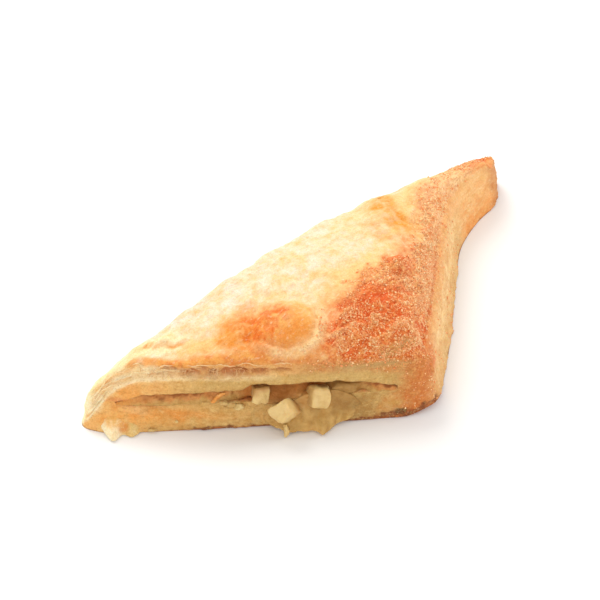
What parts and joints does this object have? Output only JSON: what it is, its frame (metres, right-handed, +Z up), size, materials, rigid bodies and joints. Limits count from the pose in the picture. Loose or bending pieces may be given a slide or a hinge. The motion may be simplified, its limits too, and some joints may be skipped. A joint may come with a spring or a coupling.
{
  "type": "turnover pastry",
  "caption": "Triangular puff pastry turnover, baked and sugared, its near cut edge gaping over a diced fruit filling that runs out at the base.",
  "frame": {"origin": "middle of the bounding box on the plane that the base rests on", "axes": "+Z up out of the base, +X along the near cut edge from the left tip to the square corner, +Y back to the fold"},
  "size_m": [0.1652, 0.1399, 0.0377],
  "materials": {
    "pastry": "matte, browned and crusted with sugar",
    "filling": "moist, softly shining",
    "dice": "moist, softly shining"
  },
  "bodies": {
    "root": {"pastry_sheet": "pastry", "fruit_filling": "filling", "fruit_dice_left": "dice", "fruit_dice_right": "dice", "fruit_dice_front": "dice"}
  },
  "joints": []
}
